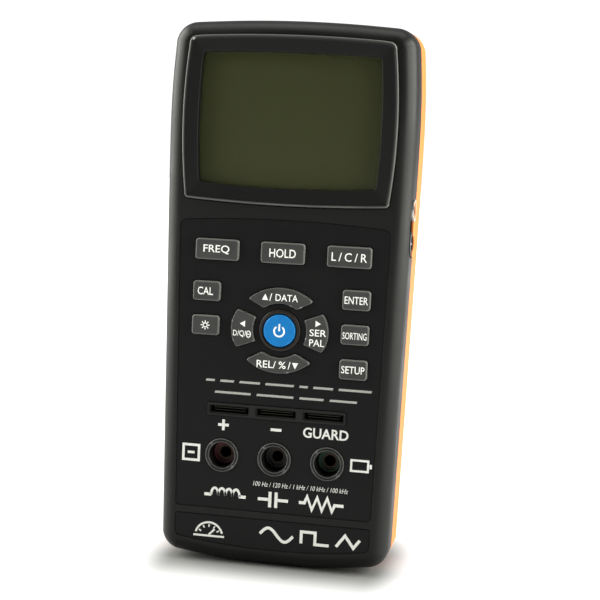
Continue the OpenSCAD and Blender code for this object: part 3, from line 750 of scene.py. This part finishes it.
# ---------------------------------------------------------------- printing
class Print:
    """Thin printed marks lying on a plane that faces the user."""

    def __init__(self, y, thick=0.03):
        self.y, self.thick, self.verts, self.faces = y, thick, [], []

    def polygon(self, pts):
        base, n = len(self.verts), len(pts)
        self.verts += at(pts, self.y) + at(pts, self.y - self.thick)
        self.faces += [tuple(base + n + i for i in range(n)), tuple(base + i for i in reversed(range(n)))]
        self.faces += [(base + i, base + (i + 1) % n, base + n + (i + 1) % n, base + n + i) for i in range(n)]

    def strip(self, pts, width, closed=False):
        """Line of even width through the points."""
        n = len(pts)
        left, right = [], []
        for i, (x, z) in enumerate(pts):
            a = pts[i - 1] if (i > 0 or closed) else pts[0]
            b = pts[(i + 1) % n] if (i < n - 1 or closed) else pts[-1]
            d1, d2 = (x - a[0], z - a[1]), (b[0] - x, b[1] - z)
            l1, l2 = math.hypot(*d1) or 1.0, math.hypot(*d2) or 1.0
            if math.hypot(*d1) == 0:
                d1, l1 = d2, l2
            if math.hypot(*d2) == 0:
                d2, l2 = d1, l1
            nx, nz = -(d1[1] / l1 + d2[1] / l2), d1[0] / l1 + d2[0] / l2
            size = math.hypot(nx, nz) or 1.0
            nx, nz = nx / size, nz / size
            spread = width / 2 / max(0.5, abs(-nx * d1[1] / l1 + nz * d1[0] / l1))
            left.append((x + nx * spread, z + nz * spread))
            right.append((x - nx * spread, z - nz * spread))
        for i in range(n if closed else n - 1):
            j = (i + 1) % n
            self.polygon([right[i], right[j], left[j], left[i]])

    def arc(self, cx, cz, r, a0, a1, width, n=40):
        pts = [(cx + r * math.cos(math.radians(a0 + (a1 - a0) * i / n)),
                cz + r * math.sin(math.radians(a0 + (a1 - a0) * i / n))) for i in range(n + 1)]
        self.strip(pts, width)

    def text(self, words, cx, cz, w, h, bold=0.006, slant=0.0, spacing=1.0):
        """Letters fitted to a box w by h round (cx, cz)."""
        curve = bpy.data.curves.new("words", "FONT")
        curve.body = words
        curve.resolution_u = 3
        curve.offset = bold
        curve.space_character = spacing
        ob = bpy.data.objects.new("words", curve)
        scene.collection.objects.link(ob)
        graph = bpy.context.evaluated_depsgraph_get()
        graph.update()
        me = bpy.data.meshes.new_from_object(ob.evaluated_get(graph))
        pts = [(v.co.x + slant * v.co.y, v.co.y) for v in me.vertices]
        x0, x1 = min(p[0] for p in pts), max(p[0] for p in pts)
        z0, z1 = min(p[1] for p in pts), max(p[1] for p in pts)
        base = len(self.verts)
        self.verts += [(cx + ((x - x0) / (x1 - x0) - 0.5) * w, self.y - self.thick,
                        cz + ((z - z0) / (z1 - z0) - 0.5) * h) for x, z in pts]
        self.faces += [tuple(base + i for i in p.vertices) for p in me.polygons]
        bpy.data.objects.remove(ob)
        bpy.data.curves.remove(curve)
        bpy.data.meshes.remove(me)

    def build(self, name, body, mat):
        me = bpy.data.meshes.new(name)
        me.from_pydata([(x * MM, y * MM, z * MM) for x, y, z in self.verts], [], self.faces)
        me.materials.append(mat)
        ob = bpy.data.objects.new(name, me)
        scene.collection.objects.link(ob)
        bm = bmesh.new()
        bm.from_mesh(me)
        bmesh.ops.recalc_face_normals(bm, faces=bm.faces)
        # letters are single sheets, so their faces are turned to the front one by one
        front = (self.y - self.thick * 0.6) * MM
        for f in bm.faces:
            if f.normal.y > 0.9 and f.calc_center_median().y < front:
                f.normal_flip()
        bm.to_mesh(me)
        bm.free()
        return attach(ob, name, body)


# legends start just above the key tops
LEGEND = KEY_TOP - 0.01


def build_legends():
    def words(key, text, w, h, dx=0.0, dz=0.0, bold=0.006, spacing=1.0):
        x, z = RECTS[key][:2]
        p = Print(LEGEND)
        p.text(text, x + dx, z + dz, w, h, bold, 0.0, spacing)
        p.build("legend_" + key, f"key_{key}_cap", M["ink_key"])

    words("freq", "FREQ", 9.4, 3.1, -0.2)
    words("hold", "HOLD", 9.4, 3.0)
    words("lcr", "L / C / R", 12.4, 3.0, spacing=0.95)
    words("cal", "CAL", 5.6, 2.75, -0.4)
    words("enter", "ENTER", 8.2, 2.6)
    words("sorting", "SORTING", 8.5, 2.4, 0, -0.3)
    words("setup", "SETUP", 8.2, 2.6)

    x, z = RECTS["backlight"][:2]
    sun = Print(LEGEND)
    sun.arc(x, z, 0.72, 0, 360, 0.32, 24)
    for i in range(8):
        a = math.radians(45 * i)
        sun.strip([(x + r * math.cos(a), z + r * math.sin(a)) for r in (1.0, 1.62)], 0.36)
    sun.build("legend_backlight", "key_backlight_cap", M["ink_key"])

    p = Print(LEGEND)
    p.polygon([(-6.6, 96.1), (-4.4, 96.1), (-5.5, 98.3)])
    p.text("/", -3.5, 97.2, 0.9, 2.6, 0.02)
    p.text("DATA", 2.2, 97.2, 8.0, 2.4)
    p.build("legend_up", "key_up_cap", M["ink_key"])
    p = Print(LEGEND)
    p.text("REL/", -4.1, 73.5, 6.9, 2.6)
    p.text("%", 1.6, 73.5, 2.6, 2.6, 0.01)
    p.text("/", 4.1, 73.5, 0.9, 2.6, 0.02)
    p.polygon([(5.1, 74.6), (7.3, 74.6), (6.2, 72.4)])
    p.build("legend_down", "key_down_cap", M["ink_key"])
    p = Print(LEGEND)
    p.polygon([(-14.2, 87.2), (-12.3, 86.1), (-12.3, 88.3)])
    p.text("D/Q/", -14.15, 83.6, 4.7, 2.4)
    theta = [(-10.95 + 0.72 * math.cos(a), 83.6 + 1.1 * math.sin(a))
             for a in (2 * math.pi * i / 24 for i in range(24))]
    p.strip(theta, 0.32, True)
    p.strip([(-11.6, 83.6), (-10.3, 83.6)], 0.3)
    p.build("legend_left", "key_left_cap", M["ink_key"])
    p = Print(LEGEND)
    p.polygon([(14.7, 88.9), (12.8, 90.0), (12.8, 87.8)])
    p.text("SER", 13.8, 85.7, 6.0, 2.4)
    p.text("PAL", 13.5, 82.2, 5.3, 2.4)
    p.build("legend_right", "key_right_cap", M["ink_key"])

    p = Print(LEGEND)
    p.arc(0, KEYS_Z - 0.15, 1.8, 125, 415, 0.6)
    p.strip([(0, KEYS_Z - 0.1), (0, KEYS_Z + 2.45)], 0.6)
    p.build("legend_power", "key_power_cap", M["ink_key"])


def bars(p, x, z, lengths, gap, height, slant):
    """Row of plain slanted bars."""
    for length in lengths:
        p.polygon([(x, z - height / 2), (x + length, z - height / 2),
                   (x + length + slant * height, z + height / 2), (x + slant * height, z + height / 2)])
        x += length + gap


def build_panel_print():
    p = Print(FILM_Y)
    # signs over the jacks
    p.strip([(-20.85, 50.4), (-16.95, 50.4)], 1.0)
    p.polygon([(-19.4, 48.45), (-18.4, 48.45), (-18.4, 49.9), (-19.4, 49.9)])
    p.polygon([(-19.4, 50.9), (-18.4, 50.9), (-18.4, 52.35), (-19.4, 52.35)])
    p.strip([(-1.75, 50.1), (2.15, 50.1)], 1.0)
    p.text("GUARD", 18.05, 50.1, 16.2, 3.7, 0.02)
    # battery sign and a plain square
    p.strip([(27.6, 37.9), (33.6, 37.9), (33.6, 41.7), (27.6, 41.7)], 0.75, True)
    p.polygon([(34.1, 39.0), (34.9, 39.0), (34.9, 40.6), (34.1, 40.6)])
    p.strip([(-33.2, 36.9), (-27.5, 36.9), (-27.5, 42.3), (-33.2, 42.3)], 0.9, True)
    p.strip([(-31.6, 39.6), (-29.1, 39.6)], 0.9)
    # test frequencies
    p.text("100 Hz / 120 Hz / 1 kHz / 10 kHz / 100 kHz", 9.9, 30.3, 34.2, 1.7, 0.0, 0.2)
    # schematic signs of a coil, a capacitor and a resistor
    z, w = 24.9, 1.1
    p.strip([(-24.9, z), (-22.4, z)], w)
    for i in range(4):
        turn = [math.radians(180 - 15 * k) for k in range(13)]
        p.strip([(-21.1 + 2.6 * i + 1.3 * math.cos(a), z + 2.5 * math.sin(a)) for a in turn], 0.85)
    p.strip([(-12.2, z), (-9.7, z)], w)
    p.strip([(-5.3, z), (-1.4, z)], w)
    p.strip([(-0.9, z - 2.8), (-0.9, z + 2.8)], w)
    p.strip([(1.3, z - 2.8), (1.3, z + 2.8)], w)
    p.strip([(1.8, z), (5.7, z)], w)
    zig = [(9.6, z), (11.6, z)] + [(12.5 + 1.8 * i, z + (2.3 if i % 2 == 0 else -2.3)) for i in range(6)]
    p.strip(zig + [(22.4, z), (25.6, z)], w)
    p.build("print_panel", "case", M["ink"])

    # plain bars in place of the printed notice
    p = Print(FILM_Y)
    bars(p, -26.0, 66.2, (3.2, 5.0, 7.4, 10.2, 3.0, 7.0, 11.6), 2.0, 0.8, 0.25)
    bars(p, -22.6, 62.1, (13.0, 13.2, 8.6, 9.6), 2.2, 0.8, 0.25)
    p.build("print_notice", "case", M["notice"])

    p = Print(FILM_Y)
    # meter sign: arc with marks and a pointer
    cx, cz = -22.7, 9.6
    p.arc(cx, cz, 5.0, 15, 165, 0.7)
    for a in (30, 60, 90, 120, 150):
        a = math.radians(a)
        p.strip([(cx + r * math.cos(a), cz + r * math.sin(a)) for r in (3.3, 4.3)], 0.5)
    a = math.radians(52)
    p.strip([(cx, cz + 0.5), (cx + 3.4 * math.cos(a), cz + 3.4 * math.sin(a))], 0.7)
    p.strip([(-28.4, cz + 0.1), (-17.0, cz + 0.1)], 0.7)
    # wave forms
    wave = [(-4.0 + 0.3 * i, 12.3 + 2.3 * math.sin(2 * math.pi * i / 40)) for i in range(41)]
    p.strip(wave, 1.05)
    p.strip([(11.0, 10.2), (11.0, 14.4), (16.0, 14.4), (16.0, 10.2), (21.0, 10.2)], 1.05)
    p.strip([(23.6, 10.2), (26.7, 14.4), (29.8, 10.2), (32.0, 13.2)], 1.05)
    p.build("print_name_film", "case", M["ink"])


# ---------------------------------------------------------------- CAD nodes that stay
STAY = {
    "lcd_glass": "lcd", "lcd_holder": "white", "backlight_panel": "white", "zebra_strip": "pink",
    "keypad_membrane": "rubber", "main_board": "board", "board_screws": "steel", "measuring_ic": "chip",
    "processor_ic": "chip", "crystal": "steel", "buzzer": "black", "capacitors": "cap",
    "range_relays": "relay", "chip_parts": "parts", "jack_plus": "red", "jack_minus": "black",
    "jack_guard": "green", "sleeve_plus": "shaded_sleeve", "sleeve_minus": "shaded_sleeve", "sleeve_guard": "shaded_sleeve",
    "test_slot_block": "slot", "test_slot_contacts": "shaded_contact", "serial_socket": "socket",
    "serial_socket_nut": "nut", "adapter_socket": "socket", "adapter_pin": "steel",
    "battery_9v": "battery", "battery_snap": "chip", "battery_lead_red": "lead_red",
    "battery_lead_black": "lead_black", "battery_door": "rear", "door_screw": "steel",
    "tilt_stand": "stand", "case_screws": "steel",
}
BEVELS = {"test_slot_block": 0.14, "serial_socket_nut": 0.12, "adapter_socket": 0.2, "battery_door": 0.22,
          "tilt_stand": 0.3, "door_screw": 0.12, "case_screws": 0.12, "battery_9v": 0.3}


def dress(name, mat):
    """Material, rounded edges and clean shading for a CAD node, by modifiers only."""
    ob = NODES[name]
    ob.data.materials.clear()
    ob.data.materials.append(mat)
    for poly in ob.data.polygons:
        poly.material_index = 0
    weld = ob.modifiers.new("weld", "WELD")
    weld.merge_threshold = 2e-6
    width = BEVELS.get(name, 0.06)
    flat = ob.modifiers.new("planar", "DECIMATE")
    flat.decimate_type = "DISSOLVE"
    flat.angle_limit = math.radians(1.0)
    bevel = ob.modifiers.new("edges", "BEVEL")
    bevel.width = width * MM
    bevel.segments = 3
    bevel.limit_method = "ANGLE"
    bevel.angle_limit = math.radians(38)
    bevel.use_clamp_overlap = True
    bevel.harden_normals = False
    ob.data.shade_smooth()
    weighted(ob)


# ---------------------------------------------------------------- studio
def build_studio():
    floor = to_object("floor", [(-4000, -4000, 0), (4000, -4000, 0), (4000, 4000, 0), (-4000, 4000, 0)],
                      [(0, 1, 2, 3)], None, 0)
    floor.location.z = -0.00005
    mat, nt, bsdf = nodes_of("floor_paper")
    pale = mix(nt, ramp(nt, noise(nt, 3.0), 0.0, 1.0), (0.17, 0.17, 0.168), (0.19, 0.19, 0.188))
    nt.links.new(pale, bsdf.inputs["Base Color"])
    bsdf.inputs["Roughness"].default_value = 0.85
    # A mid-grey sheet whose own glow makes it pale. The glow leaves out a soft patch
    # under the meter, so the dark contact shadow is partly drawn and not only cast.
    coord = nt.nodes.new("ShaderNodeTexCoord")
    split = nt.nodes.new("ShaderNodeSeparateXYZ")
    nt.links.new(coord.outputs["Object"], split.inputs[0])
    beyond = []
    for axis, (half, width) in PAINTED_SHADOW.items():
        size = nt.nodes.new("ShaderNodeMath")
        size.operation = "ABSOLUTE"
        nt.links.new(split.outputs[axis], size.inputs[0])
        beyond.append(ramp(nt, size.outputs[0], 0.0, 1.0, half, half + width))
    away = nt.nodes.new("ShaderNodeCombineXYZ")
    nt.links.new(beyond[0], away.inputs["X"])
    nt.links.new(beyond[1], away.inputs["Y"])
    length = nt.nodes.new("ShaderNodeVectorMath")
    length.operation = "LENGTH"
    nt.links.new(away.outputs[0], length.inputs[0])
    glow = ramp(nt, length.outputs["Value"], 0.0, FLOOR_GLOW, 0.0, 1.0)
    glow.node.interpolation_type = "SMOOTHERSTEP"
    reach = nt.nodes.new("ShaderNodeVectorMath")
    reach.operation = "LENGTH"
    nt.links.new(coord.outputs["Object"], reach.inputs[0])
    for more in (ramp(nt, split.outputs["Y"], 0.0, 0.35, 0.03, 0.6),
                 ramp(nt, reach.outputs["Value"], 0.0, 0.25, 0.25, 1.0)):
        total = nt.nodes.new("ShaderNodeMath")
        nt.links.new(glow, total.inputs[0])
        nt.links.new(more, total.inputs[1])
        glow = total.outputs[0]
    bsdf.inputs["Emission Color"].default_value = (1, 1, 1, 1)
    nt.links.new(glow, bsdf.inputs["Emission Strength"])
    floor.data.materials.append(mat)

    world = bpy.data.worlds.new("studio")
    scene.world = world
    world.use_nodes = True
    nt = world.node_tree
    back = nt.nodes["Background"]
    back.inputs["Color"].default_value = (1, 1, 1, 1)
    # The camera sees a white backdrop; the light itself comes from a dimmer tent that
    # is darkest at the front, so the two differ on purpose.
    coord = nt.nodes.new("ShaderNodeTexCoord")
    split = nt.nodes.new("ShaderNodeSeparateXYZ")
    nt.links.new(coord.outputs["Generated"], split.inputs[0])
    tent = ramp(nt, split.outputs["Y"], TENT_FRONT, TENT_BACK, -0.95, 0.2)
    path = nt.nodes.new("ShaderNodeLightPath")
    choose = nt.nodes.new("ShaderNodeMix")
    nt.links.new(path.outputs["Is Camera Ray"], choose.inputs["Factor"])
    nt.links.new(tent, choose.inputs["A"])
    choose.inputs["B"].default_value = 1.1
    nt.links.new(choose.outputs["Result"], back.inputs["Strength"])

    for name, place, aim, width, height, radiance in SOFTBOXES:
        light = bpy.data.lights.new(name, "AREA")
        light.shape = "RECTANGLE"
        light.size, light.size_y = width, height
        light.energy = radiance * math.pi * width * height
        light.color = LIGHT_TINT
        ob = bpy.data.objects.new(name, light)
        scene.collection.objects.link(ob)
        ob.location = place
        ob.rotation_euler = (Vector(aim) - Vector(place)).to_track_quat("-Z", "Y").to_euler()


def build_camera():
    camera = bpy.data.cameras.new("camera")
    camera.sensor_width = 36.0
    camera.lens = CAMERA_LENS
    camera.clip_start = 0.01
    camera.clip_end = 20.0
    ob = bpy.data.objects.new("camera", camera)
    scene.collection.objects.link(ob)
    turn, rise = math.radians(CAMERA_TURN), math.radians(CAMERA_RISE)
    away = Vector((math.sin(turn) * math.cos(rise), -math.cos(turn) * math.cos(rise), math.sin(rise)))
    right = Vector((0, 0, 1)).cross(away).normalized()
    up = away.cross(right)
    roll = Matrix.Rotation(math.radians(CAMERA_ROLL), 3, away)
    right, up = roll @ right, roll @ up
    pose = Matrix((right, up, away)).transposed().to_4x4()
    pose.translation = Vector(CAMERA_PLACE)
    ob.matrix_world = pose
    scene.camera = ob


build_camera()
build_studio()
build_front()
build_rear()
build_bezel()
build_lens()
build_film()
build_name_film()
for key_name in OUTLINES:
    if key_name == "power":
        build_key(key_name, M["power"])
    else:
        build_key(key_name, M["key"])
build_ring()
build_collars()
build_legends()
build_panel_print()
for node_name, mat_name in STAY.items():
    dress(node_name, M[mat_name])

scene.view_settings.view_transform = "Standard"
